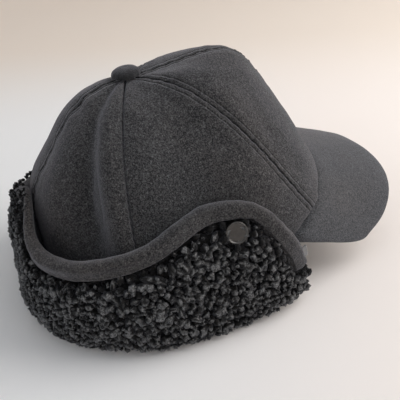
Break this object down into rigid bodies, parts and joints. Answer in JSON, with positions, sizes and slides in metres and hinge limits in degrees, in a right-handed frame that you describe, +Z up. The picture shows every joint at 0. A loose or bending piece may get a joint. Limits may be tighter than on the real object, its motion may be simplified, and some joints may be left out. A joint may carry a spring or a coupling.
{
  "type": "trapper cap",
  "caption": "Peaked wool trapper cap with a panelled crown, covered button and a pile-lined ear and neck flap folded up and held by press studs.",
  "frame": {"origin": "middle of the footprint of the cap's box, on the floor it stands on", "axes": "+Z up through the crown, -Y forward along the peak, +X to the wearer's left"},
  "size_m": [0.1932, 0.2574, 0.1381],
  "materials": {
    "crown_wool": "matt felted wool",
    "button_wool": "matt felted wool",
    "peak_wool": "matt felted wool, smoother",
    "flap_wool": "matt felted wool",
    "binding_wool": "matt felted wool",
    "pile": "curly fleece pile",
    "stud_plastic": "glossy, slightly clear",
    "tab_weave": "plain woven tape"
  },
  "bodies": {
    "root": {"crown_front_right": "crown_wool", "crown_front_left": "crown_wool", "crown_side_right": "crown_wool", "crown_side_left": "crown_wool", "crown_back_right": "crown_wool", "crown_back_left": "crown_wool", "top_button": "button_wool", "peak": "peak_wool", "ear_flap_wool": "flap_wool", "flap_binding": "binding_wool", "ear_flap_pile": "pile", "press_stud_right": "stud_plastic", "press_stud_left": "stud_plastic", "side_tab": "tab_weave"}
  },
  "joints": []
}
